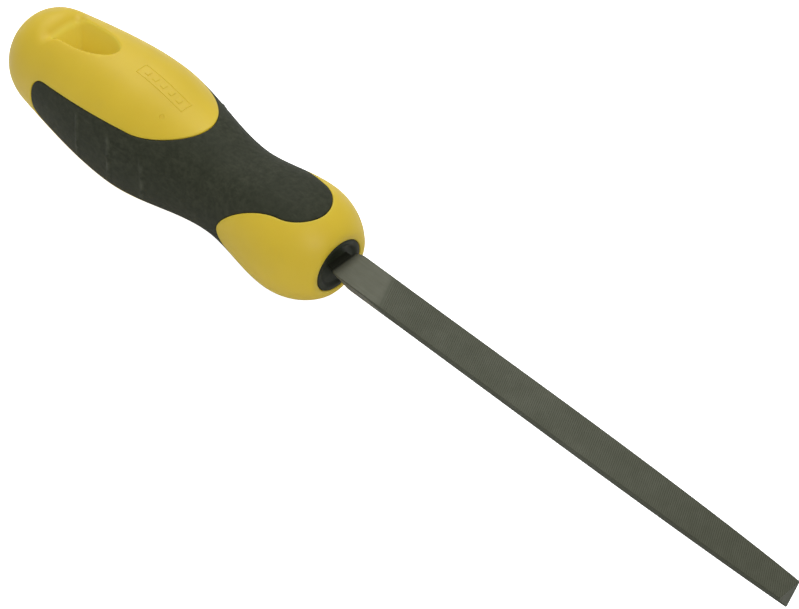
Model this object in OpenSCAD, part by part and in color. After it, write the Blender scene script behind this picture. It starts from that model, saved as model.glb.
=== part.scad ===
// Three-square file, 150 mm, in a two-material handle with a hanging hole.
// Four pieces: the steel file with its tang, the black insert that grips the tang, the yellow
// handle core and the black soft grip moulded into the core's pocket. Nothing moves.
// Frame: origin at the centre of the hanging hole on the tool's axis, +X along the axis towards
// the file's tip, +Z along the hanging hole and square to the file's upper face. Millimetres.

/* [File] */
// Length of the file body from its heel to its tip
blade_len = 152; // [120:0.5:200]
// Side of the three-square section where the body is parallel
side_w = 11; // [9:0.5:13]
// Share of the full section that is left at the tip
tip_share = 0.75; // [0.5:0.01:0.95]
// Length of the body that is parallel, measured from the heel
parallel_len = 68; // [30:1:100]
// Width of the narrow flat that breaks each long edge
edge_flat = 0.35; // [0.2:0.05:0.8]
// Length of the tang behind the heel
tang_len = 52; // [40:1:54]
// Side of the three-square tang at its root
tang_root = 7.6; // [6:0.2:8]
// Side of the three-square tang at its end
tang_end = 3; // [2:0.2:5]
// How far the heel stands clear of the handle's nose
heel_gap = 1.4; // [0.5:0.1:4]

/* [Handle] */
// Length of the handle from butt to nose
handle_len = 122.5; // [118:0.5:130]
// Distance from the nose back to the hanging hole's centre
hole_to_nose = 96; // [93:0.5:97]
// Width across the rear swell
swell_w = 37; // [33:0.2:39]
// How much taller than wide the rear swell is
swell_oval = 1.09; // [1:0.01:1.15]
// Diameter at the waist
waist_d = 27.2; // [25:0.2:30]
// Diameter of the front bulb
bulb_d = 32.8; // [30:0.2:34]
// Depth of the pocket that holds the soft grip
grip_depth = 2.4; // [1.6:0.1:3]

/* [Hanging hole] */
// Width of the hanging hole
hole_w = 10.6; // [8:0.2:12]
// Length of the hanging hole along the handle
hole_len = 21; // [16:0.5:22]
// Length of the half ellipse that forms the hole's front
hole_front = 13.5; // [8:0.5:14]
// Length of the slope that eases the hole's rear rim
rear_ease = 2.8; // [1:0.1:4]

/* [Tang insert] */
// Diameter of the insert at the nose
insert_d = 16; // [14:0.2:17]
// Length of the insert
insert_len = 56; // [54.5:0.5:60]
// Depth of the dished recess in the insert's face
dish_depth = 0.8; // [0.4:0.1:2]

/* [Hidden] */
clearance = 0.05;

// Stations along the handle, counted back from the nose at x = 0
butt_x = -110;
swell_x = -74;
waist_x = -38;
bulb_x = -15;
butt_half = 0.782 * swell_w / 2;
butt_slope = 0.165;
dome_power = 2.5;
nose_cut = 0.8;
oval_from = -35;
oval_run = 50;

// Side tongues of the grip: rear end, widening, and the flare that meets over the waist
tongue_end = -104.3;
tongue_round = -98.5;
tongue_flare = -66;
waist_front = -49.8;
tongue_angle = 27.5;
tongue_widening = 0.35;
// Side lobes of the core at the front: rear end, the turn, and the flare ahead of the top tongue
lobe_end = -32.3;
lobe_turn = -12.3;
lobe_flare = -14;
grip_front = -6.1;
lobe_angle = 57;

around = 56;
arc_steps = 14;
cut_r = 30;
core_r = 5;

// --- curves -----------------------------------------------------------------------------

// Smooth step from 0 to 1
function smooth(t) = let (u = min(max(t, 0), 1)) u * u * (3 - 2 * u);

// Cubic from a to b over a run h, leaving a with slope ma and reaching b level
function level_off(t, h, a, ma, b) =
    (2 * pow(t, 3) - 3 * t * t + 1) * a + (pow(t, 3) - 2 * t * t + t) * h * ma
    + (3 * t * t - 2 * pow(t, 3)) * b;

// Rounded end: 1 at t = 0, falling to 0 at t = 1 like a superellipse of power n
function round_end(t, n) = pow(max(1 - pow(min(max(t, 0), 1), n), 0), 1 / n);

// Flare: 0 at t = 0, turning to 1 at t = 1 like the quarter of an ellipse
function flare(t, p) = 1 - sqrt(max(1 - pow(min(max(t, 0), 1), p), 0));

// Half width of the handle at x
function half_w(x) =
    x < butt_x ? (butt_half + butt_slope * (x - butt_x))
        * round_end((butt_x - x) / (handle_len + butt_x), dome_power)
    : x < swell_x ? level_off((x - butt_x) / (swell_x - butt_x), swell_x - butt_x,
        butt_half, butt_slope, swell_w / 2)
    : x < waist_x ? swell_w / 2 + (waist_d - swell_w) / 2 * smooth((x - swell_x) / (waist_x - swell_x))
    : x < bulb_x ? waist_d / 2 + (bulb_d - waist_d) / 2 * smooth((x - waist_x) / (bulb_x - waist_x))
    : bulb_d / 2 * sqrt(1 - pow(nose_cut * (x - bulb_x) / -bulb_x, 2));

// Half height over half width at x
function oval(x) = 1 + (swell_oval - 1) * smooth((oval_from - x) / oval_run);

// Half angle of a side tongue of the grip, measured about the axis from the side
function tongue_half(x) =
    let (wide = tongue_angle + tongue_widening * (x - tongue_round))
    wide * round_end((tongue_round - x) / (tongue_round - tongue_end), 3)
    + (90 - wide) * flare((x - tongue_flare) / (waist_front - tongue_flare), 1.8);

// Half angle of a side lobe of the core at the front, measured the same way
function lobe_half(x) =
    let (w = min((x - lobe_end) / (lobe_turn - lobe_end), 1))
    lobe_angle * pow(max(1 - pow(1 - w, 1.7), 0), 0.625)
    + (90 - lobe_angle) * flare((x - lobe_flare) / (grip_front - lobe_flare), 1.7);

// Distance from the axis to the file's flat faces at x, counted from the nose
heel_x = heel_gap;
tip_x = heel_x + blade_len;
taper_x = heel_x + parallel_len;
inradius = side_w / (2 * sqrt(3));
shoulder = 3.4;
hole_corner = 1.6;
function body_share(x) =
    let (t = max(x - taper_x, 0) / (tip_x - taper_x), drop = 1 - tip_share)
    1 - drop * (0.8 * t * t + 0.2 * pow(t, 6));
function shoulder_share(x) =
    let (u = 1 - min((x - heel_x) / shoulder, 1))
    0.7 + 0.3 * sqrt(1 - u * u);
function face_dist(x) = inradius * body_share(x) * shoulder_share(x);

// Distance from the axis to the tang's faces at x
function tang_dist(x) =
    (tang_root + (tang_end - tang_root) * (heel_x - x) / tang_len) / (2 * sqrt(3));

// --- builders ---------------------------------------------------------------------------

// Solid through a list of rings that all have the same number of points
module loft(rings) {
    n = len(rings[0]);
    last = len(rings) - 1;
    polyhedron(
        points = [for (ring = rings) for (p = ring) p],
        faces = concat(
            [[for (i = [n - 1:-1:0]) i]],
            [[for (i = [0:n - 1]) last * n + i]],
            [for (k = [0:last - 1]) for (i = [0:n - 1])
                [k * n + i, k * n + (i + 1) % n, (k + 1) * n + i]],
            [for (k = [0:last - 1]) for (i = [0:n - 1])
                [k * n + (i + 1) % n, (k + 1) * n + (i + 1) % n, (k + 1) * n + i]]));
}

// Values from a to b, drawn together at both ends
function eased(a, b, steps) = [for (i = [0:steps]) a + (b - a) * (1 - cos(180 * i / steps)) / 2];

// One oval section of the handle, set in from its skin
function section(x, inset) =
    let (w = half_w(x) - inset, h = half_w(x) * oval(x) - inset)
    [for (i = [0:around - 1]) [x, -w * cos(360 * i / around), h * sin(360 * i / around)]];

// The handle's outer form, or the same form set in by a wall thickness
module handle_form(inset) {
    rear = -handle_len + (inset > 0 ? 6 : 0.02);
    xs = concat(eased(rear, butt_x, 10), [for (i = [1:30]) butt_x + (bulb_x - butt_x) * i / 30],
        [for (i = [1:8]) bulb_x * (1 - sin(90 * i / 8))]);
    loft([for (x = xs) section(x, inset)]);
}

// Ring sector at x, centred on one direction and reaching a half angle to each side
function sector(x, middle, half) = concat(
    [for (i = [0:arc_steps]) let (a = middle - half + 2 * half * i / arc_steps)
        [x, -cut_r * cos(a), cut_r * sin(a)]],
    [for (i = [arc_steps:-1:0]) let (a = middle - half + 2 * half * i / arc_steps)
        [x, -core_r * cos(a), core_r * sin(a)]]);

// The space the grip fills: two side tongues, the waist band, and top and bottom tongues
module grip_zone() {
    blunt = 0.05;
    overlap = 0.4;
    for (middle = [0, 180])
        loft([for (x = eased(tongue_end + blunt, waist_front, 20)) sector(x, middle, tongue_half(x))]);
    translate([waist_front - overlap, 0, 0])
        rotate([0, 90, 0])
            cylinder(h = lobe_end - waist_front + 2 * overlap, r = cut_r, $fn = 48);
    for (middle = [90, -90])
        loft([for (x = eased(lobe_end, grip_front - blunt, 20)) sector(x, middle, 90 - lobe_half(x))]);
}

// Outline of the hanging hole at height z: half an ellipse in front, rounded corners at the rear
function hole_outline(z, rear) =
    let (w = hole_w / 2, middle = hole_len / 2 - hole_front, c = hole_corner)
    concat(
        [for (a = [90:-7.5:-90]) [middle + hole_front * cos(a), w * sin(a), z]],
        [for (a = [-90:-22.5:-180]) [c - rear + c * cos(a), c - w + c * sin(a), z]],
        [for (a = [180:-22.5:90]) [c - rear + c * cos(a), w - c + c * sin(a), z]]);

// The hanging hole, straight through with its rear rim eased on both faces
module hanging_hole() {
    reach = swell_w / 2 + 4;
    rim_x = -hole_to_nose - hole_len / 2 - rear_ease;
    ease_z = half_w(rim_x) * oval(rim_x) - rear_ease;
    back = hole_len / 2;
    translate([-hole_to_nose, 0, 0])
        loft([hole_outline(-reach, back + reach - ease_z), hole_outline(-ease_z, back),
            hole_outline(ease_z, back), hole_outline(reach, back + reach - ease_z)]);
}

// Three-square section at x, its faces at a distance d from the axis and its corners cut to a flat
function triangle(x, d, flat) =
    let (corners = [[-sqrt(3) * d, d], [sqrt(3) * d, d], [0, -2 * d]])
    [for (k = [0:2]) for (side = [2, 1])
        let (towards = corners[(k + side) % 3] - corners[k], p = corners[k] + flat * towards / norm(towards))
        [x, p.x, p.y]];

// --- pieces -----------------------------------------------------------------------------

// Shifts a piece drawn from the nose into the part's frame
module from_nose() {
    translate([hole_to_nose, 0, 0])
        children();
}

// Steel file: tang, rounded heel, parallel body and tapered end
module file() {
    tang_xs = [heel_x - tang_len, heel_x];
    heel_xs = [for (i = [0:5]) heel_x + shoulder * (1 - cos(90 * i / 5))];
    taper_xs = [for (i = [0:22]) taper_x + (tip_x - taper_x) * sin(90 * i / 22)];
    color("dimgray")
        from_nose()
            loft(concat(
                [for (x = tang_xs) triangle(x, tang_dist(x), edge_flat)],
                [for (x = concat(heel_xs, taper_xs)) triangle(x, face_dist(x), edge_flat)]));
}

// Space the tang needs inside the insert
module tang_space() {
    xs = [heel_x - tang_len - 1, heel_x];
    loft([for (x = xs) triangle(x, tang_dist(x) + clearance, edge_flat)]);
}

// Insert that grips the tang: a sleeve with a dished face at the nose
module tang_insert() {
    r = insert_d / 2;
    rim = 2.1;
    lip = 0.6;
    rear_r = r - 1;
    color([0.17, 0.18, 0.16])
        from_nose()
            difference() {
                rotate([0, 90, 0])
                    rotate_extrude($fn = 72)
                        polygon([[0, -insert_len], [rear_r - 1, -insert_len], [rear_r, -insert_len + 1],
                            [r, -insert_len + 30], [r, -lip], [r - lip, 0], [r - rim, 0],
                            [r - rim - dish_depth / 2, -dish_depth], [0, -dish_depth]]);
                tang_space();
            }
}

// Handle core: outer form less the grip's pocket, the hanging hole and the insert's bore
module handle_core() {
    r = insert_d / 2 + clearance;
    color("gold")
        from_nose()
            resize([0, 0, 0])
                difference() {
                    handle_form(0);
                    difference() {
                        grip_zone();
                        handle_form(grip_depth + clearance);
                    }
                    hanging_hole();
                    translate([-insert_len - clearance, 0, 0])
                        rotate([0, 90, 0])
                            cylinder(h = insert_len + 1, r = r, $fn = 72);
                }
}

// Soft grip: one piece round the waist with tongues along both sides, top and bottom
module grip() {
    color([0.22, 0.23, 0.2])
        from_nose()
            resize([0, 0, 0])
                intersection() {
                    difference() {
                        handle_form(0);
                        handle_form(grip_depth);
                    }
                    grip_zone();
                }
}

file();
tang_insert();
handle_core();
grip();
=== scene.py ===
"""Looks of a three-square hand file: steel file, tang insert, hard yellow core and soft black grip.

Lengths are millimetres along the tool's axis, counted from the handle's nose, until finished() turns
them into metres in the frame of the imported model.
"""
import math

import bpy
import numpy as np
from mathutils import Matrix, Vector


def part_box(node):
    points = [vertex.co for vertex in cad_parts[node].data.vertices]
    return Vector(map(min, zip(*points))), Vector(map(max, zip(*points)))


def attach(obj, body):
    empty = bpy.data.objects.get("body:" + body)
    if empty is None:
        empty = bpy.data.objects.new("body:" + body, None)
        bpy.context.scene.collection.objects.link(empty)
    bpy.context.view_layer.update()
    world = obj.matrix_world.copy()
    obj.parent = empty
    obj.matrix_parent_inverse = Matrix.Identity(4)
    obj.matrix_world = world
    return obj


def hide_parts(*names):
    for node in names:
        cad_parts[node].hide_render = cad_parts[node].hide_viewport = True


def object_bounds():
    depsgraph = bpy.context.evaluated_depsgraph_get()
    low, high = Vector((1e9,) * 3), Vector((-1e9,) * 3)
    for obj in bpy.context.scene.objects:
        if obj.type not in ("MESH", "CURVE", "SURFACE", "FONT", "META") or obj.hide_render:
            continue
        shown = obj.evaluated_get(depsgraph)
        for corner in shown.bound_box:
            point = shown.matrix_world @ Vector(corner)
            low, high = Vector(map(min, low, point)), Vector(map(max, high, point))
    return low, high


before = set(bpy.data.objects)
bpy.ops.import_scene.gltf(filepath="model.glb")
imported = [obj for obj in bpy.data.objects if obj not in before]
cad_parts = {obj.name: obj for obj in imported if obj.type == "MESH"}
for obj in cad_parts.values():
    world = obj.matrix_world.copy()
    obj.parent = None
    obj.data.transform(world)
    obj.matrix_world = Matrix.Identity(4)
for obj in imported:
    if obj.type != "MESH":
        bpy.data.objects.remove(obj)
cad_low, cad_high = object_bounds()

MM = 0.001
BODY = "root"

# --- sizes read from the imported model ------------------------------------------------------


def extent(node):
    """Lowest and highest corner of a node in millimetres."""
    low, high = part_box(node)
    return np.array(low) / MM, np.array(high) / MM


NOSE = extent("tang_insert")[1][0]
HANDLE = NOSE - extent("handle_core")[0][0]
SWELL = extent("grip")[1][1]
BULB = extent("grip")[1][2]
WAIST = 0.8293 * BULB
INSERT_R = extent("tang_insert")[1][1]
INSERT_LEN = NOSE - extent("tang_insert")[0][0]
TIP = extent("file")[1][0] - NOSE
TANG_END = extent("file")[0][0] - NOSE

# Stations along the handle
BUTT = -0.898 * HANDLE
SWELL_X = -0.604 * HANDLE
WAIST_X = -0.31 * HANDLE
BULB_X = -0.1224 * HANDLE
TONGUE_END = -0.8514 * HANDLE
TONGUE_ROUND = -0.804 * HANDLE
TONGUE_FLARE = -0.5388 * HANDLE
WAIST_FRONT = -0.4065 * HANDLE
LOBE_END = -0.2637 * HANDLE
LOBE_TURN = -0.1004 * HANDLE
LOBE_FLARE = -0.1143 * HANDLE
GRIP_FRONT = -0.0498 * HANDLE

# Sections of the handle
SWELL_OVAL = 1.09
OVAL_FROM = -0.286 * HANDLE
OVAL_RUN = 0.408 * HANDLE
BUTT_HALF = 0.782 * SWELL
BUTT_SLOPE = 0.165
DOME_POWER = 2.5
NOSE_CUT = 0.8
TONGUE_ANGLE = 27.5
TONGUE_WIDENING = 0.35
LOBE_ANGLE = 57.0

# Pocket, grip and their meeting edge
GRIP_DEPTH = 2.4
POCKET_DEPTH = GRIP_DEPTH + 0.05
CORE_ROUND = 0.3
GRIP_ROUND = 0.5
GRIP_GAP = 0.05

# Hanging hole, centred on the frame's origin
HOLE_X = -NOSE
HOLE_LEN = 21.0
HOLE_W = 10.6
HOLE_FRONT = 13.5
HOLE_CORNER = 1.6
RIM_ROUND = 0.9
REAR_ROUND = 5.4
REAR_FROM = 3.5
REAR_RUN = 5.5
# share of the rim's radius over which the painted light of the hole's walls fades out
RIM_GLOW = 0.3
RIM_REACH = 12.0
WALL_ROWS = (1, 0.97, 0.9, 0.75, 0.6, 0.45, 0.3, 0.15, 0)

# File
FLAT = 0.35
HEEL = 1.4
SHOULDER = 3.4
SIDE = 2 * extent("file")[1][1] + FLAT
PARALLEL = 68.0
TIP_SHARE = 0.75
TANG_ROOT = 7.6
TANG_TIP = 3.0
CUT_START = 16.9
CUT_LEAN = 2.4
PITCH = 0.6
TOOTH = 0.1
ROOT_AT = 0.22
CREST_AT = 0.99

SNAP = 0.04

# --- curves of the handle ------------------------------------------------------------------


def smooth(t):
    t = np.clip(t, 0, 1)
    return t * t * (3 - 2 * t)


def round_end(t, power):
    """1 at t = 0, falling to 0 at t = 1 like a superellipse."""
    return np.maximum(1 - np.clip(t, 0, 1) ** power, 0) ** (1 / power)


def flare(t, power):
    """0 at t = 0, turning to 1 at t = 1 like the quarter of an ellipse."""
    return 1 - np.sqrt(np.maximum(1 - np.clip(t, 0, 1) ** power, 0))


def level_off(t, run, a, slope, b):
    """Cubic from a to b over a run, leaving a with a slope and reaching b level."""
    return (2 * t**3 - 3 * t**2 + 1) * a + (t**3 - 2 * t**2 + t) * run * slope + (3 * t**2 - 2 * t**3) * b


def half_width(x):
    dome = (BUTT_HALF + BUTT_SLOPE * (x - BUTT)) * round_end((BUTT - x) / (HANDLE + BUTT), DOME_POWER)
    rear = level_off((x - BUTT) / (SWELL_X - BUTT), SWELL_X - BUTT, BUTT_HALF, BUTT_SLOPE, SWELL)
    middle = SWELL + (WAIST - SWELL) * smooth((x - SWELL_X) / (WAIST_X - SWELL_X))
    front = WAIST + (BULB - WAIST) * smooth((x - WAIST_X) / (BULB_X - WAIST_X))
    nose = BULB * np.sqrt(np.maximum(1 - (NOSE_CUT * (x - BULB_X) / -BULB_X) ** 2, 0))
    return np.select([x < BUTT, x < SWELL_X, x < WAIST_X, x < BULB_X], [dome, rear, middle, front], nose)


def half_height(x):
    return half_width(x) * (1 + (SWELL_OVAL - 1) * smooth((OVAL_FROM - x) / OVAL_RUN))


def tongue_half(x):
    """Half angle of a side tongue of the grip, in degrees from the side."""
    wide = TONGUE_ANGLE + TONGUE_WIDENING * (x - TONGUE_ROUND)
    body = wide * round_end((TONGUE_ROUND - x) / (TONGUE_ROUND - TONGUE_END), 3)
    return body + (90 - wide) * flare((x - TONGUE_FLARE) / (WAIST_FRONT - TONGUE_FLARE), 1.8)


def lobe_half(x):
    """Half angle of a side lobe of the core at the front, in degrees from the side."""
    w = np.clip((x - LOBE_END) / (LOBE_TURN - LOBE_END), 0, 1)
    body = LOBE_ANGLE * np.maximum(1 - (1 - w) ** 1.7, 0) ** 0.625
    return body + (90 - LOBE_ANGLE) * flare((x - LOBE_FLARE) / (GRIP_FRONT - LOBE_FLARE), 1.7)


def skin(at, inset=0.0):
    """Points on the handle's oval skin, or on the same form set in, at (x, angle)."""
    x, angle = at.T
    return np.stack([x, (half_width(x) - inset) * np.cos(angle), (half_height(x) - inset) * np.sin(angle)], 1)


def skin_normal(at):
    step = 0.01
    along, about = np.array([step, 0]), np.array([0, step / SWELL])
    d_along = skin(at + along) - skin(at - along)
    d_about = skin(at + about) - skin(at - about)
    normal = np.cross(d_about, d_along)
    return normal / np.linalg.norm(normal, axis=1, keepdims=True)


# --- where the two colours meet ------------------------------------------------------------


def meeting_line(half_angle, start, end):
    """The line where core and grip meet, as points on the skin in the quarter y > 0, z > 0."""
    x = start + (end - start) * (1 - np.cos(np.linspace(0, math.pi, 420))) / 2
    angle = np.radians(np.clip(half_angle(x), 0, 90))
    w, h = half_width(x), half_height(x)
    radius = 1 / np.hypot(np.cos(angle) / w, np.sin(angle) / h)
    return np.stack([x, radius * np.cos(angle), radius * np.sin(angle)], 1)


MEETING = [meeting_line(tongue_half, TONGUE_END, WAIST_FRONT), meeting_line(lobe_half, LOBE_END, GRIP_FRONT)]


def distance_to(points, line):
    """Distance from each point to a line of points joined by straight pieces."""
    batch = 4000
    best = np.empty(len(points))
    for start in range(0, len(points), batch):
        some = points[start:start + batch]
        gap = ((some[:, None, :] - line[None]) ** 2).sum(2)
        nearest = gap.argmin(1)
        least = gap[np.arange(len(some)), nearest]
        for side in (-1, 1):
            a = line[nearest]
            b = line[np.clip(nearest + side, 0, len(line) - 1)]
            run = b - a
            t = ((some - a) * run).sum(1) / np.maximum((run**2).sum(1), 1e-12)
            foot = a + np.clip(t, 0, 1)[:, None] * run
            least = np.minimum(least, ((some - foot) ** 2).sum(1))
        best[start:start + batch] = np.sqrt(least)
    return best


def to_meeting(at):
    """Distance over the skin to the meeting line, positive on the core and negative on the grip."""
    p = np.abs(skin(at)) * [-1, 1, 1]
    x = at[:, 0]
    angle = np.degrees(np.arctan2(p[:, 2], p[:, 1]))
    on_rear = (x > TONGUE_END) & (x < WAIST_FRONT) & (angle < tongue_half(x))
    on_band = (x >= WAIST_FRONT) & (x <= LOBE_END)
    on_front = (x > LOBE_END) & (x < GRIP_FRONT) & (angle > lobe_half(x))
    p[:, 0] = x
    distance = np.minimum(distance_to(p, MEETING[0]), distance_to(p, MEETING[1]))
    return np.where(on_rear | on_band | on_front, -distance, distance)


def rounding(distance, radius):
    """How far a rounded edge drops below the surface at a distance in from the edge."""
    t = np.clip(1 - distance / radius, 0, 1)
    return radius * (1 - np.sqrt(1 - t**2))


# --- hanging hole --------------------------------------------------------------------------


def to_slot(x, y):
    """Distance to the hole's outline, positive outside: straight at the rear, half an ellipse in front."""
    along = x - HOLE_X
    half = HOLE_W / 2
    middle = HOLE_LEN / 2 - HOLE_FRONT
    off_rear = -along - HOLE_LEN / 2 + HOLE_CORNER
    off_side = np.abs(y) - half + HOLE_CORNER
    outside = np.hypot(np.maximum(off_rear, 0), np.maximum(off_side, 0))
    rear = outside + np.minimum(np.maximum(off_rear, off_side), 0) - HOLE_CORNER
    a, b = (along - middle) / HOLE_FRONT, y / half
    size = np.maximum(np.hypot(a, b), 1e-6)
    front = size * (size - 1) / np.maximum(np.hypot(a / HOLE_FRONT, b / half), 1e-9)
    return np.where(along > middle, front, rear)


def rim_radius(x):
    """Radius of the hole's rim, larger behind the rear wall."""
    return RIM_ROUND + (REAR_ROUND - RIM_ROUND) * smooth((HOLE_X - HOLE_LEN / 2 + REAR_FROM - x) / REAR_RUN)


def to_hole(at):
    """Distance from the hole's outline as a share of the rim's radius there."""
    p = skin(at)
    return to_slot(p[:, 0], p[:, 1]) / rim_radius(p[:, 0])


# --- label frame and gate mark on the upper face of the core ---------------------------------

LABEL_X = -0.547 * HANDLE
LABEL_LEN = 18.0
LABEL_W = 4.2
LABEL_LINE = 0.45
LABEL_RISE = 0.15
BAR_STEP = 3.0
BAR_LEN = 1.5
BAR_W = 1.7
GATE_AT = (-0.496 * HANDLE, -6.7)
GATE_R = 0.75
GATE_DEPTH = 0.15
FLANK = 0.12


def in_box(x, y, length, width):
    """Distance to a rectangle about the origin, negative inside it."""
    return np.maximum(np.abs(x) - length / 2, np.abs(y) - width / 2)


def to_label(at):
    p = skin(at)
    return in_box(p[:, 0] - LABEL_X, p[:, 1], LABEL_LEN, LABEL_W)


def to_bar(at):
    p = skin(at)
    x = p[:, 0] - LABEL_X
    nearest = np.clip(np.round(x / BAR_STEP), -2, 2) * BAR_STEP
    return in_box(x - nearest, p[:, 1], BAR_LEN, BAR_W)


def to_gate(at):
    p = skin(at)
    return np.hypot(p[:, 0] - GATE_AT[0], p[:, 1] - GATE_AT[1]) - GATE_R


def label_rise(at):
    """Height of the raised frame and bars, less the shallow gate mark."""
    d, bar = to_label(at), to_bar(at)
    line = np.minimum(np.clip(-d / FLANK, 0, 1), np.clip((d + LABEL_LINE) / FLANK, 0, 1))
    raised = np.maximum(line, np.clip(-bar / FLANK, 0, 1))
    return LABEL_RISE * raised - GATE_DEPTH * np.clip(-to_gate(at) / FLANK, 0, 1)


# --- triangles over a skin -------------------------------------------------------------------


class Sheet:
    """Triangles over the upper half of the handle's skin; each corner is a place (x, angle)."""

    def __init__(self, stations, angles):
        n, m = len(stations), len(angles)
        self.at = np.stack(np.meshgrid(stations, angles, indexing="ij"), -1).reshape(-1, 2)
        a = (np.arange(n - 1)[:, None] * m + np.arange(m - 1)).ravel()
        first = np.stack([a, a + 1, a + m + 1], 1)
        second = np.stack([a, a + m + 1, a + m], 1)
        self.tris = np.concatenate([first, second])

    def copy(self):
        twin = Sheet.__new__(Sheet)
        twin.at, twin.tris = self.at.copy(), self.tris.copy()
        return twin

    def edges(self):
        pairs = np.concatenate([self.tris[:, [0, 1]], self.tris[:, [1, 2]], self.tris[:, [2, 0]]])
        pairs.sort(axis=1)
        keys = np.unique(pairs[:, 0] * len(self.at) + pairs[:, 1])
        return np.stack([keys // len(self.at), keys % len(self.at)], 1)

    def split(self, edges, places):
        """Puts a new corner on each edge and divides the triangles that hold it."""
        n = len(self.at)
        keys = edges[:, 0] * n + edges[:, 1]
        order = np.argsort(keys)
        keys = keys[order]
        self.at = np.concatenate([self.at, places])
        after = np.roll(self.tris, -1, axis=1)
        wanted = np.minimum(self.tris, after) * n + np.maximum(self.tris, after)
        found = np.searchsorted(keys, wanted).clip(max=len(keys) - 1)
        middle = np.where(keys[found] == wanted, n + order[found], -1)
        count = (middle >= 0).sum(1)

        def turned(which, first):
            columns = (np.arange(3) + first[:, None]) % 3
            return (np.take_along_axis(self.tris[which], columns, 1).T,
                    np.take_along_axis(middle[which], columns, 1).T)

        one, two, three = count == 1, count == 2, count == 3
        parts = [self.tris[count == 0]]
        (a, b, c), (p, _, _) = turned(one, (middle[one] >= 0).argmax(1))
        parts += [np.stack(t, 1) for t in ((a, p, c), (p, b, c))]
        (a, b, c), (p, q, _) = turned(two, ((middle[two] < 0).argmax(1) + 1) % 3)
        parts += [np.stack(t, 1) for t in ((p, b, q), (a, p, q), (a, q, c))]
        (a, b, c), (p, q, r) = turned(three, np.zeros(three.sum(), int))
        parts += [np.stack(t, 1) for t in ((a, p, r), (p, b, q), (r, q, c), (p, q, r))]
        self.tris = np.concatenate(parts)

    def slide(self, places, value, level):
        """Moves places straight onto the line value = level; places on the half's seam stay on it."""
        step = 0.002
        reach = SWELL
        seam = (places[:, 1] == 0) | (places[:, 1] == math.pi)
        along, about = np.array([step, 0]), np.array([0, step / reach])
        off = value(places) - level
        gx = (value(places + along) - value(places - along)) / (2 * step)
        ga = np.where(seam, 0, (value(places + about) - value(places - about)) / (2 * step))
        size = gx**2 + ga**2
        share = np.where(size > 0.02, off / np.maximum(size, 0.02), 0)
        return places - np.stack([share * gx, share * ga / reach], 1)

    def cut(self, value, level):
        """Adds a line of edges where value crosses a level."""
        off = value(self.at) - level
        close = np.abs(off) < SNAP
        if close.any():
            self.at[close] = self.slide(self.at[close], value, level)
            off[close] = value(self.at[close]) - level
            off[close & (np.abs(off) < SNAP / 4)] = 0
        edges = self.edges()
        a, b = off[edges[:, 0]], off[edges[:, 1]]
        crossed = a * b < 0
        if not crossed.any():
            return
        edges, a, b = edges[crossed], a[crossed], b[crossed]
        share = (a / (a - b))[:, None]
        places = self.at[edges[:, 0]] * (1 - share) + self.at[edges[:, 1]] * share
        self.split(edges, self.slide(places, value, level))

    def refine(self, inside, longest):
        """Halves edges that are longer than wanted inside a region."""
        edges = self.edges()
        p = skin(self.at)
        length = np.linalg.norm(p[edges[:, 0]] - p[edges[:, 1]], axis=1)
        held = inside(self.at)
        chosen = edges[(length > longest) & held[edges[:, 0]] & held[edges[:, 1]]]
        self.split(chosen, self.at[chosen].mean(1))

    def keep(self, value):
        """Drops the triangles over which value is not positive."""
        self.tris = self.tris[value(self.at)[self.tris].mean(1) > 0]


def rim_edges(tris, others=None):
    """Directed edges that tris use and that others (or tris themselves, for an open rim) use reversed."""
    size = int(tris.max() if others is None else max(tris.max(), others.max())) + 1

    def directed(t):
        pairs = np.concatenate([t[:, [0, 1]], t[:, [1, 2]], t[:, [2, 0]]])
        return pairs, pairs[:, 0] * size + pairs[:, 1], pairs[:, 1] * size + pairs[:, 0]

    pairs, _, reverse = directed(tris)
    if others is None:
        return pairs[~np.isin(reverse, directed(tris)[1])]
    return pairs[np.isin(reverse, directed(others)[1])]


class Solid:
    """Points and triangles gathered from several parts of one closed surface."""

    def __init__(self):
        self.points, self.tris, self.marks, self.count = [], [], [], 0

    def add(self, points, tris, mark=0.0):
        self.points.append(np.asarray(points, float))
        self.tris.append(np.asarray(tris, int) + self.count)
        self.marks.append(np.broadcast_to(mark, len(points)))
        self.count += len(points)

    def add_rows(self, rows):
        """A band between rows of points that all have the same length."""
        n, m = len(rows), len(rows[0])
        a = (np.arange(n - 1)[:, None] * m + np.arange(m - 1)).ravel()
        tris = np.concatenate([np.stack([a, a + 1, a + m + 1], 1), np.stack([a, a + m + 1, a + m], 1)])
        self.add(np.concatenate(rows), tris)

    def add_walls(self, edges, rows, mark=0.0):
        """Walls that go down from directed edges through rows of points."""
        n = len(rows[0])
        i, j = edges.T
        for k in range(len(rows) - 1):
            tris = np.concatenate([np.stack([j, i, i + n], 1), np.stack([j, i + n, j + n], 1)])
            self.add(np.concatenate([rows[k], rows[k + 1]]), tris, mark)

    def add_mirrored(self, other):
        """Another solid's surface, mirrored in z."""
        for points, tris, mark, start in zip(other.points, other.tris, other.marks, other.starts()):
            self.add(points * [1, 1, -1], (tris - start)[:, ::-1], mark)

    def starts(self):
        return np.cumsum([0] + [len(p) for p in self.points[:-1]])

    def welded(self):
        """Points, triangles and marks with coincident points joined and collapsed triangles gone."""
        tolerance = 2e-4
        points, tris = np.concatenate(self.points), np.concatenate(self.tris)
        keys = np.round(points / tolerance).astype(np.int64)
        _, first, index = np.unique(keys, axis=0, return_index=True, return_inverse=True)
        tris = index.ravel()[tris]
        whole = (tris[:, 0] != tris[:, 1]) & (tris[:, 1] != tris[:, 2]) & (tris[:, 2] != tris[:, 0])
        tris = tris[whole]
        used, packed = np.unique(tris, return_inverse=True)
        return points[first][used], packed.reshape(tris.shape), np.concatenate(self.marks)[first][used]


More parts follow.
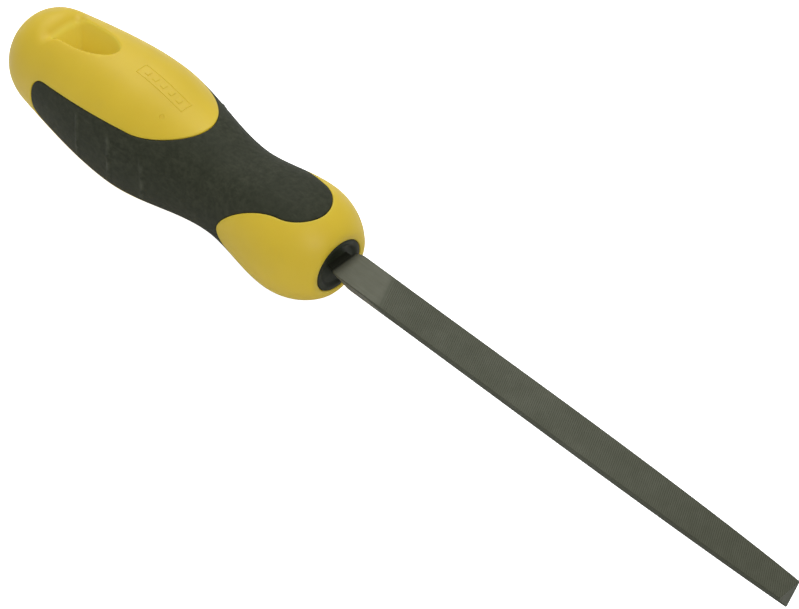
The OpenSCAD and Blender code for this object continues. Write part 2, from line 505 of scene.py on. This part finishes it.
def finished(name, solid, material, node, sharp=38.0, mark=None):
    """Turns a solid into a Blender object in the model's frame that stands for a CAD node."""
    points, tris, marks = solid.welded()
    points = (points + [NOSE, 0, 0]) * MM
    mesh = bpy.data.meshes.new(name)
    mesh.from_pydata(points.tolist(), [], tris.tolist())
    mesh.validate()
    if mark:
        mesh.attributes.new(mark, "FLOAT", "POINT").data.foreach_set("value", marks.astype(np.float32))
    mesh.shade_smooth()
    mesh.set_sharp_from_angle(angle=math.radians(sharp))
    mesh.materials.append(material)
    piece = bpy.data.objects.new(name, mesh)
    bpy.context.scene.collection.objects.link(piece)
    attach(piece, BODY)
    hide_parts(node)
    return piece


# --- handle core -----------------------------------------------------------------------------

NOSE_EDGE = -1.3
HALF_COLUMNS = 84
DOME_ROWS = 26
CORE_STEP = 0.62
FACE_WIDTH = 1.05
BORE_LIP = 0.3
INSERT_GAP = 0.05


def half_angles():
    return np.linspace(0, math.pi, HALF_COLUMNS + 1)


def handle_stations(front, step):
    """Stations from the butt's pole to the front, closer together round the dome."""
    dome = np.sin(np.linspace(math.pi / 2, 0, DOME_ROWS)) ** (2 / DOME_POWER)
    body = np.linspace(BUTT, front, int((front - BUTT) / step) + 1)
    return np.concatenate([BUTT - (HANDLE + BUTT) * dome[:-1], body])


def core_half(sheet, rise):
    """Upper half of the core: skin, pocket floor and walls, and the hole's walls down to the middle.

    The hole's walls are marked for painted light in the material, a paler colour and a faint glow, and the
    mark fades out over the hole's rim.
    """
    half = Solid()
    distance = to_meeting(sheet.at)
    on_core = distance[sheet.tris].mean(1) > 0
    core, floor = sheet.tris[on_core], sheet.tris[~on_core]
    share = to_hole(sheet.at)
    radius = rim_radius(sheet.at[:, 0])
    drop = np.where(distance > -SNAP, rounding(distance, CORE_ROUND), 0)
    height = np.where(np.abs(sheet.at[:, 0] - LABEL_X) < LABEL_LEN, rise(sheet.at), 0) - drop
    points = skin(sheet.at)
    lifted = height != 0
    points[lifted] += skin_normal(sheet.at[lifted]) * height[lifted][:, None]
    rim = np.clip(1 - share, 0, 1)
    points[:, 2] -= radius * (1 - np.sqrt(1 - rim**2)) * (np.abs(points[:, 1]) < RIM_REACH)
    under = skin(sheet.at, POCKET_DEPTH)
    # the mark here is painted light: it makes the inner part of the hole's rim paler and faintly glowing
    half.add(points, core, smooth(1 - share / RIM_GLOW))
    half.add(under, floor)
    half.add_walls(rim_edges(core, floor), [points, under])
    opening = rim_edges(core)
    opening = opening[(np.abs(share[opening]) < 0.02).all(1)]
    rows = [points * [1, 1, k] for k in WALL_ROWS]
    # the hole's walls get the full mark of painted light
    half.add_walls(opening, rows, 1.0)
    return half


def build_core():
    sheet = Sheet(handle_stations(NOSE_EDGE, CORE_STEP), half_angles())
    for level in (0, 0.05, 0.13, CORE_ROUND):
        sheet.cut(to_meeting, level)
    for level in (0, 0.07, 0.2, 0.42, 0.7, 1):
        sheet.cut(to_hole, level)
    sheet.keep(to_hole)
    upper = sheet.copy()
    for longest in (0.6, 0.45):
        upper.refine(lambda at: (to_label(at) < 1) | (to_gate(at) < 1), longest)
    for value, levels in ((to_label, (0, -FLANK, FLANK - LABEL_LINE, -LABEL_LINE)), (to_bar, (0, -FLANK)),
                          (to_gate, (0, -FLANK))):
        for level in levels:
            upper.cut(value, level)
    solid = core_half(upper, label_rise)
    lower = core_half(sheet, lambda at: np.zeros(len(at)))
    solid.add_mirrored(lower)
    add_nose(solid)
    return solid


def ring(x, r, angles):
    return np.stack([np.full(len(angles), x), r * np.cos(angles), r * np.sin(angles)], 1)


def full_circle():
    """The half's angles, carried on round the lower side so that both halves share their corners."""
    upper = half_angles()
    return np.concatenate([upper, -upper[-2::-1]])


def add_nose(solid):
    """Rounded nose, its flat face and the bore that holds the insert."""
    angles = full_circle()
    edge_r = float(half_width(np.array([NOSE_EDGE]))[0])
    step = 0.2
    slope = (edge_r - float(half_width(np.array([NOSE_EDGE - step]))[0])) / step
    face_r = INSERT_R + FACE_WIDTH
    corner_r = edge_r - slope * NOSE_EDGE
    rows = []
    for t in np.linspace(0, 1, 7):
        x = (1 - t) ** 2 * NOSE_EDGE
        r = (1 - t) ** 2 * edge_r + 2 * t * (1 - t) * corner_r + t**2 * face_r
        rows.append(ring(x, r, angles))
    bore_r = INSERT_R + INSERT_GAP
    bore_end = -INSERT_LEN - INSERT_GAP
    for t in np.linspace(0, math.pi / 2, 5):
        rows.append(ring(-BORE_LIP * (1 - math.cos(t)), bore_r + BORE_LIP * (1 - math.sin(t)), angles))
    rows.append(ring(bore_end, bore_r, angles))
    rows.append(ring(bore_end, 0, angles))
    solid.add_rows(rows)


# --- grip --------------------------------------------------------------------------------------

RIB_PLACES = (-0.686 * HANDLE, -0.584 * HANDLE, -0.492 * HANDLE)
RIB_REAR = 1.2
RIB_FRONT = 0.8
RIB_RISE = 0.4
RIB_SPAN = 28.0
RIB_FADE = 5.0
RIB_BOW = 2.0
# gain of the mark for the painted highlight on the rib crests
RIB_HIGHLIGHT_GAIN = 1.6
GRIP_STEP = 0.6


def rib_rise(at):
    """Low curved ribs across both side tongues; the material paints their crests lighter as a highlight."""
    p = skin(at)
    angle = np.degrees(np.arctan2(np.abs(p[:, 2]), np.abs(p[:, 1])))
    height = np.zeros(len(at))
    for place in RIB_PLACES:
        crest = place + RIB_BOW * (1 - (angle / RIB_SPAN) ** 2)
        off = at[:, 0] - crest
        across = np.where(off < 0, -off / RIB_REAR, off / RIB_FRONT)
        height = np.maximum(height, smooth(1 - across) * smooth((RIB_SPAN - angle) / RIB_FADE))
    return RIB_RISE * height


def build_grip():
    front = GRIP_FRONT + 1
    stations = np.arange(TONGUE_END - 0.5, front, GRIP_STEP)
    sheet = Sheet(stations, half_angles())
    for inward in (0, 0.06, 0.18, GRIP_ROUND):
        sheet.cut(to_meeting, -GRIP_GAP - inward)
    sheet.keep(lambda at: -GRIP_GAP - to_meeting(at))
    inward = np.maximum(-GRIP_GAP - to_meeting(sheet.at), 0)
    height = rib_rise(sheet.at) - rounding(inward, GRIP_ROUND)
    outer = skin(sheet.at) + skin_normal(sheet.at) * height[:, None]
    inner = skin(sheet.at, GRIP_DEPTH)
    half = Solid()
    # mark for the painted highlight on the rib crests
    crest_highlight = np.clip(rib_rise(sheet.at) / RIB_RISE * RIB_HIGHLIGHT_GAIN, 0, 1)
    half.add(outer, sheet.tris, crest_highlight)
    half.add(inner, sheet.tris[:, ::-1])
    edges = rim_edges(sheet.tris)
    angle = sheet.at[:, 1]
    seam = ((angle[edges] == 0).all(1)) | ((angle[edges] == math.pi).all(1))
    half.add_walls(edges[~seam], [outer, inner])
    solid = Solid()
    for points, tris, mark, start in zip(half.points, half.tris, half.marks, half.starts()):
        solid.add(points, tris - start, mark)
    solid.add_mirrored(half)
    return solid


# --- tang insert -------------------------------------------------------------------------------


DISH = 0.8
DISH_RUN = 1.3
FACE_RING = 1.2
INSERT_TAPER = 30.0
INSERT_ROUND = 0.5


def triangle_reach(angles, inradius):
    """Distance from the axis to a triangle with its upper side level, its corners cut by a flat."""
    sides = np.radians([90, 210, 330])
    corners = np.radians([30, 150, 270])
    reach = inradius / np.cos(angles[:, None] - sides).max(1)
    cut_back = (2 * inradius - FLAT * math.sqrt(3) / 2) / np.cos(angles[:, None] - corners).max(1)
    return np.minimum(reach, cut_back)


def build_insert():
    angles = np.linspace(0, 2 * math.pi, 121)
    r = INSERT_R
    rear = -INSERT_LEN
    outline = [(rear, 0), (rear, r - 2), (rear + 1, r - 1), (rear + INSERT_TAPER, r), (-INSERT_ROUND, r)]
    for t in np.linspace(0.2, math.pi / 2, 5):
        outline.append((-INSERT_ROUND * (1 - math.sin(t)), r - INSERT_ROUND * (1 - math.cos(t))))
    outline += [(-DISH * float(smooth(t)), r - FACE_RING - DISH_RUN * t) for t in np.linspace(0, 1, 8)]
    rows = [ring(x, radius, angles) for x, radius in outline]
    last_x, last_r = outline[-1]
    mouth = triangle_reach(angles, tang_reach(last_x) + INSERT_GAP)
    for t in (0.35, 0.7, 1):
        rows.append(ring(last_x, last_r + (mouth - last_r) * t, angles))
    end = TANG_END - 1
    rows.append(ring(end, triangle_reach(angles, tang_reach(end) + INSERT_GAP), angles))
    rows.append(ring(end, 0, angles))
    solid = Solid()
    solid.add_rows(rows)
    return solid


# --- file ---------------------------------------------------------------------------------------

FACE_COLUMNS = 50
OVERCUT_PITCH = 1.1
OVERCUT_LEAN = 0.9
OVERCUT_DEPTH = 0.5 * TOOTH
OVERCUT_SHARE = 0.22
TIP_CORNER = 0.2
# length over which the painted shade on the tang fades into the heel
TANG_SHADE = 1.0
HEEL_SHARE = 0.7
TAPER_EVEN = 0.8


def tang_reach(x):
    side = TANG_ROOT + (TANG_TIP - TANG_ROOT) * (HEEL - x) / (HEEL - TANG_END)
    return side / (2 * math.sqrt(3))


def body_reach(x):
    """Distance from the axis to the file's faces: rounded heel, parallel body, curved taper."""
    t = np.maximum(x - HEEL - PARALLEL, 0) / (TIP - HEEL - PARALLEL)
    taper = 1 - (1 - TIP_SHARE) * (TAPER_EVEN * t**2 + (1 - TAPER_EVEN) * t**6)
    u = 1 - np.clip((x - HEEL) / SHOULDER, 0, 1)
    return SIDE / (2 * math.sqrt(3)) * taper * (HEEL_SHARE + (1 - HEEL_SHARE) * np.sqrt(1 - u**2))


def face_rows():
    """Rows across one face: place, lean, and depth below the face, from the heel to the tip."""
    shoulder = HEEL + SHOULDER * (1 - np.cos(np.linspace(0, math.pi / 2, 10)))
    heel = np.linspace(HEEL + SHOULDER, CUT_START, 9)[1:]
    rows = [(x, 0.0, 0.0) for x in shoulder]
    rows += [(x, CUT_LEAN * smooth((x - heel[0]) / (heel[-1] - heel[0])), 0.0) for x in heel]
    pitches = int((TIP + CUT_LEAN - CUT_START) / PITCH) + 2
    for k in range(pitches):
        start = CUT_START + k * PITCH
        deep = min((k + 1) / 3, 1) * TOOTH
        rows.append((start + ROOT_AT * PITCH, CUT_LEAN, deep))
        rows.append((start + CREST_AT * PITCH, CUT_LEAN, 0.0))
    return np.array(rows)


def face_points():
    """Points of the upper face, row by row, and a mark for each: -1 tang (painted dark as shade), 0 heel, 1
    cut.
    """
    place, lean, deep = face_rows().T[:, :, None]
    u = np.linspace(-1, 1, FACE_COLUMNS + 1)[None]
    x = np.minimum(place - lean * u, TIP)
    reach = body_reach(x)
    to_tip = np.clip((x - TIP + TIP_CORNER) / TIP_CORNER, 0, 1)
    half = math.sqrt(3) * reach - FLAT - TIP_CORNER * (1 - np.sqrt(1 - to_tip**2))
    across = u * half
    phase = np.mod((x - OVERCUT_LEAN * across) / OVERCUT_PITCH, 1)
    notch = OVERCUT_DEPTH * np.clip(1 - np.abs(phase - 0.5) / OVERCUT_SHARE, 0, 1)
    cut = np.broadcast_to((place > CUT_START + 0.1) * 1.0, x.shape)
    depth = np.where(x < TIP, np.where(cut > 0, np.maximum(deep, notch), 0), 0)
    body = np.stack([x, across, reach - depth], -1)
    tang_x = np.array([TANG_END, HEEL])[:, None]
    tang_d = tang_reach(tang_x)
    tang_half = math.sqrt(3) * tang_d - FLAT
    shape = (2, FACE_COLUMNS + 1)
    tang = np.stack([np.broadcast_to(tang_x, shape), u * tang_half, np.broadcast_to(tang_d, shape)], -1)
    # painted shade: the tang is marked -1, and the heel's first rows fade from -1 to 0 over TANG_SHADE
    dark = -1 + smooth((place - HEEL) / TANG_SHADE)
    body_marks = np.where(place > HEEL + TANG_SHADE, cut, dark)
    return np.concatenate([tang, body]), np.concatenate([np.full(shape, -1.0), body_marks])


def zipped(a, b, x):
    """Triangles between two lines of corners that both run towards the tip."""
    i = j = 0
    tris = []
    while i < len(a) - 1 or j < len(b) - 1:
        go_a = j == len(b) - 1 or (i < len(a) - 1 and x[a[i + 1]] <= x[b[j + 1]])
        if go_a:
            tris.append((a[i], a[i + 1], b[j]))
            i += 1
        else:
            tris.append((a[i], b[j + 1], b[j]))
            j += 1
    return tris


def build_file():
    face, cut = face_points()
    n, m = cut.shape
    flat = face.reshape(-1, 3)
    a = (np.arange(n - 1)[:, None] * m + np.arange(m - 1)).ravel()
    patch = np.concatenate([np.stack([a, a + m, a + m + 1], 1), np.stack([a, a + m + 1, a + 1], 1)])
    solid = Solid()
    points, tris = [], []
    for k in range(3):
        turn = math.radians(-120 * k)
        y = flat[:, 1] * math.cos(turn) - flat[:, 2] * math.sin(turn)
        z = flat[:, 1] * math.sin(turn) + flat[:, 2] * math.cos(turn)
        points.append(np.stack([flat[:, 0], y, z], 1))
        tris.append(patch + k * n * m)
    points = np.concatenate(points)
    rows = np.arange(n) * m
    for k in range(3):
        ending = k * n * m + rows + m - 1
        starting = (k + 1) % 3 * n * m + rows
        tris.append(np.array(zipped(ending, starting, points[:, 0])))
    first = np.concatenate([k * n * m + np.arange(m) for k in range(3)])
    last = first + (n - 1) * m
    centres = len(points) + np.arange(2)
    points = np.concatenate([points, [[TANG_END, 0, 0], [TIP, 0, 0]]])
    tris.append(np.stack([first, np.roll(first, -1), np.full(len(first), centres[0])], 1))
    tris.append(np.stack([np.roll(last, -1), last, np.full(len(last), centres[1])], 1))
    marks = np.concatenate([np.tile(cut.ravel(), 3), [0, 1]])
    solid.add(points, np.concatenate(tris), marks)
    return solid


# --- materials ------------------------------------------------------------------------------------


class Shader:
    """A material's node tree with short calls for the nodes used here."""

    def __init__(self, name):
        self.material = bpy.data.materials.new(name)
        self.material.use_nodes = True
        self.tree = self.material.node_tree
        self.surface = self.tree.nodes["Principled BSDF"]
        self.place = self.node("ShaderNodeTexCoord").outputs["Object"]

    def node(self, kind, inputs=None, **settings):
        made = self.tree.nodes.new(kind)
        for key, value in settings.items():
            setattr(made, key, value)
        for key, value in (inputs or {}).items():
            self.give(made.inputs[key], value)
        return made

    def give(self, socket, value):
        if isinstance(value, bpy.types.NodeSocket):
            self.tree.links.new(value, socket)
        else:
            socket.default_value = value

    def stretched(self, x, y, z):
        scaled = self.node("ShaderNodeVectorMath", {0: self.place, 1: (x, y, z)}, operation="MULTIPLY")
        return scaled.outputs[0]

    def noise(self, size, detail=3.0, rough=0.5, place=None):
        """Noise whose features are about size millimetres across, from 0 to 1."""
        inputs = {"Vector": place or self.place, "Scale": 1 / (size * MM)}
        inputs.update({"Detail": detail, "Roughness": rough})
        return self.node("ShaderNodeTexNoise", inputs).outputs["Fac"]

    def ramp(self, value, low, high, to_low=0.0, to_high=1.0):
        inputs = {"Value": value, "From Min": low, "From Max": high, "To Min": to_low, "To Max": to_high}
        return self.node("ShaderNodeMapRange", inputs).outputs["Result"]

    def mix(self, share, a, b, blend="MIX"):
        made = self.node("ShaderNodeMix", data_type="RGBA", blend_type=blend)
        for socket, value in zip((made.inputs[0], made.inputs[6], made.inputs[7]), (share, a, b)):
            self.give(socket, value)
        return made.outputs[2]

    def math(self, operation, a, b=0.0):
        return self.node("ShaderNodeMath", {0: a, 1: b}, operation=operation).outputs[0]

    def bump(self, height, distance, strength=1.0, under=None):
        inputs = {"Height": height, "Distance": distance * MM, "Strength": strength}
        if under:
            inputs["Normal"] = under
        return self.node("ShaderNodeBump", inputs).outputs["Normal"]

    def finish(self, **inputs):
        for key, value in inputs.items():
            self.give(self.surface.inputs[key.replace("_", " ")], value)
        return self.material


def yellow_plastic():
    """Satin moulded plastic, slightly translucent; the hole's walls and the inner part of its rim get painted
    light, a paler colour and a faint glow.
    """
    s = Shader("yellow_plastic")
    cloud = s.ramp(s.noise(26, 2), 0.3, 0.7)
    tint = s.mix(cloud, (0.68, 0.49, 0.026, 1), (0.73, 0.53, 0.034, 1))
    grime = s.ramp(s.noise(5, 5, 0.6), 0.56, 0.8, 0, 0.12)
    color = s.mix(grime, tint, (0.56, 0.41, 0.05, 1))
    # painted light: where the hole mark is set, the plastic is paler and glows faintly, brightening the
    # shaded inside of the hole
    hole = s.node("ShaderNodeAttribute", attribute_name="hole").outputs["Fac"]
    color = s.mix(hole, color, (0.79, 0.68, 0.118, 1))
    grain = s.noise(0.35, 2)
    rough = s.ramp(s.noise(7, 4), 0.3, 0.7, 0.42, 0.52)
    normal = s.bump(grain, 0.012, 0.5, s.bump(s.noise(9, 2), 0.12, 0.25))
    # the emission driven by the hole mark is painted light, a faint glow inside the hole
    return s.finish(Base_Color=color, Roughness=rough, Normal=normal, Subsurface_Weight=0.35,
                    Subsurface_Radius=(1.0, 0.9, 0.3), Subsurface_Scale=0.003, IOR=1.49,
                    Specular_IOR_Level=0.4, Emission_Color=(0.82, 0.63, 0.088, 1),
                    Emission_Strength=s.math("MULTIPLY", hole, 0.125))


def black_rubber():
    """Matt soft-touch elastomer: fine mottled grain, scuffed patches, and a painted highlight that makes the
    rib crests lighter in broken patches.
    """
    s = Shader("black_rubber")
    mottle = s.ramp(s.noise(1.6, 6, 0.72), 0.4, 0.66)
    scuffs = s.ramp(s.noise(2.5, 5, 0.6, s.stretched(0.5, 1.6, 1.6)), 0.5, 0.7)
    where = s.ramp(s.noise(20, 2), 0.3, 0.7, 0.3, 0.9)
    patches = s.math("MULTIPLY", s.math("MAXIMUM", mottle, scuffs), where)
    color = s.mix(patches, (0.024, 0.028, 0.015, 1), (0.050, 0.054, 0.033, 1))
    # painted highlight: the rib crests are mixed lighter, broken into patches by noise
    crest = s.node("ShaderNodeAttribute", attribute_name="crest_highlight").outputs["Fac"]
    broken = s.math("MULTIPLY", crest, s.ramp(s.noise(3, 3, 0.6), 0.38, 0.6, 0.0, 0.85))
    color = s.mix(broken, color, (0.070, 0.076, 0.052, 1))
    fine = s.noise(0.4, 3, 0.6)
    rough = s.ramp(fine, 0.3, 0.7, 0.62, 0.78)
    normal = s.bump(fine, 0.04, 0.8, s.bump(s.noise(1.8, 3), 0.08, 0.6))
    return s.finish(Base_Color=color, Roughness=rough, Normal=normal, Specular_IOR_Level=0.22)


def black_plastic():
    """Matt insert moulding, a little darker and smoother than the grip."""
    s = Shader("black_plastic")
    color = s.mix(s.ramp(s.noise(4, 4), 0.4, 0.7), (0.014, 0.018, 0.008, 1), (0.024, 0.029, 0.016, 1))
    normal = s.bump(s.noise(0.5, 3), 0.02, 0.6)
    rough = s.ramp(s.noise(3, 3), 0.3, 0.7, 0.5, 0.62)
    return s.finish(Base_Color=color, Roughness=rough, Normal=normal, Specular_IOR_Level=0.25)


def hardened_steel():
    """Dark hardened steel: grey on the cut and darker towards the tip, lighter heel, and a tang painted
    near-black as shade.
    """
    s = Shader("hardened_steel")
    cut = s.node("ShaderNodeAttribute", attribute_name="cut").outputs["Fac"]
    ground = s.noise(0.5, 4, 0.6, s.stretched(0.06, 1, 1))
    heel = s.mix(s.ramp(ground, 0.3, 0.7), (0.096, 0.099, 0.070, 1), (0.108, 0.111, 0.081, 1))
    tooth = s.mix(s.ramp(s.noise(9, 4), 0.35, 0.7), (0.080, 0.085, 0.058, 1), (0.095, 0.100, 0.071, 1))
    along = s.node("ShaderNodeSeparateXYZ", {0: s.place}).outputs["X"]
    far = s.ramp(along, (NOSE + 0.55 * TIP) * MM, (NOSE + 0.85 * TIP) * MM)
    tooth = s.mix(far, tooth, (0.068, 0.072, 0.047, 1))
    color = s.mix(s.ramp(cut, 0, 1), heel, tooth)
    stain = s.ramp(s.noise(14, 5, 0.6), 0.5, 0.75, 0, 0.3)
    color = s.mix(stain, color, (0.080, 0.082, 0.056, 1))
    # painted shade: the tang's mark -1 mixes it towards near-black
    color = s.mix(s.math("MULTIPLY", cut, -1.0), color, (0.024, 0.026, 0.016, 1))
    rough = s.math("ADD", s.ramp(s.noise(3, 4), 0.3, 0.7, 0.46, 0.54), s.ramp(cut, -1, 1, 0.0, 0.08))
    normal = s.bump(ground, 0.004, 0.4)
    return s.finish(Base_Color=color, Roughness=rough, Metallic=0.35, Normal=normal, Specular_IOR_Level=0.3)


def pale_floor():
    """Near-white sheet that glows for the camera alone, so the backdrop stays plain; clear from below."""
    s = Shader("pale_floor")
    color = s.mix(s.noise(300, 2), (0.90, 0.90, 0.90, 1), (0.92, 0.92, 0.92, 1))
    seen = s.node("ShaderNodeLightPath").outputs["Is Camera Ray"]
    above = s.math("SUBTRACT", 1.0, s.node("ShaderNodeNewGeometry").outputs["Backfacing"])
    return s.finish(Base_Color=color, Roughness=0.9, Specular_IOR_Level=0.1, Emission_Color=(1, 1, 1, 1),
                    Emission_Strength=seen, Alpha=above)


# --- studio -----------------------------------------------------------------------------------------


def add_floor():
    """A wide plain floor that the handle's swell rests on."""
    reach = 6.0
    centre = (cad_low + cad_high) / 2
    corners = [(centre.x + sx * reach, centre.y + sy * reach, cad_low.z - 0.0005)
               for sx, sy in ((-1, -1), (1, -1), (1, 1), (-1, 1))]
    mesh = bpy.data.meshes.new("floor")
    mesh.from_pydata(corners, [], [(0, 1, 2, 3)])
    mesh.materials.append(pale_floor())
    floor = bpy.data.objects.new("floor", mesh)
    bpy.context.scene.collection.objects.link(floor)


def facing(target, place):
    return (target - place).to_track_quat("-Z", "Y").to_euler()


def add_light(name, direction, size, energy):
    """A square soft light a metre from the object in a given direction."""
    centre = (cad_low + cad_high) / 2
    data = bpy.data.lights.new(name, "AREA")
    data.shape = "SQUARE"
    data.size = size
    data.energy = energy
    lamp = bpy.data.objects.new(name, data)
    lamp.location = centre + Vector(direction).normalized()
    lamp.rotation_euler = facing(centre, lamp.location)
    bpy.context.scene.collection.objects.link(lamp)


def add_world():
    world = bpy.data.worlds.new("studio")
    world.use_nodes = True
    background = world.node_tree.nodes["Background"]
    background.inputs["Color"].default_value = (1, 1, 1, 1)
    background.inputs["Strength"].default_value = 0.42
    bpy.context.scene.world = world


def add_camera():
    """Long lens from above and in front of the handle's left side, rolled a little."""
    azimuth, elevation, roll = math.radians(40.85), math.radians(46.79), math.radians(4.02)
    size = cad_high - cad_low
    aim = cad_low + Vector((0.5237 * size.x, 0.5 * size.y, 0.55 * size.z))
    back = Vector((math.sin(azimuth) * math.cos(elevation), -math.cos(azimuth) * math.cos(elevation),
                   math.sin(elevation)))
    right = Vector((math.cos(azimuth), math.sin(azimuth), 0))
    up = back.cross(right)
    rolled_right = right * math.cos(roll) + up * math.sin(roll)
    rolled_up = up * math.cos(roll) - right * math.sin(roll)
    data = bpy.data.cameras.new("camera")
    data.lens = 148.4
    data.sensor_width = 36
    camera = bpy.data.objects.new("camera", data)
    turn = Matrix((rolled_right, rolled_up, back)).transposed().to_4x4()
    camera.matrix_world = Matrix.Translation(aim + back * (3.1114 * size.x)) @ turn
    bpy.context.scene.collection.objects.link(camera)
    bpy.context.scene.camera = camera


def main():
    finished("core_moulding", build_core(), yellow_plastic(), "handle_core", mark="hole")
    finished("grip_moulding", build_grip(), black_rubber(), "grip", mark="crest_highlight")
    finished("insert_moulding", build_insert(), black_plastic(), "tang_insert")
    finished("file_forging", build_file(), hardened_steel(), "file", sharp=30.0, mark="cut")
    add_floor()
    add_world()
    add_light("key", (-0.55, 0.4, 1.0), 0.9, 5.8)
    add_light("front", (0.7, -0.35, 0.8), 0.35, 2.6)
    add_camera()
    bpy.context.scene.view_settings.view_transform = "Standard"


main()
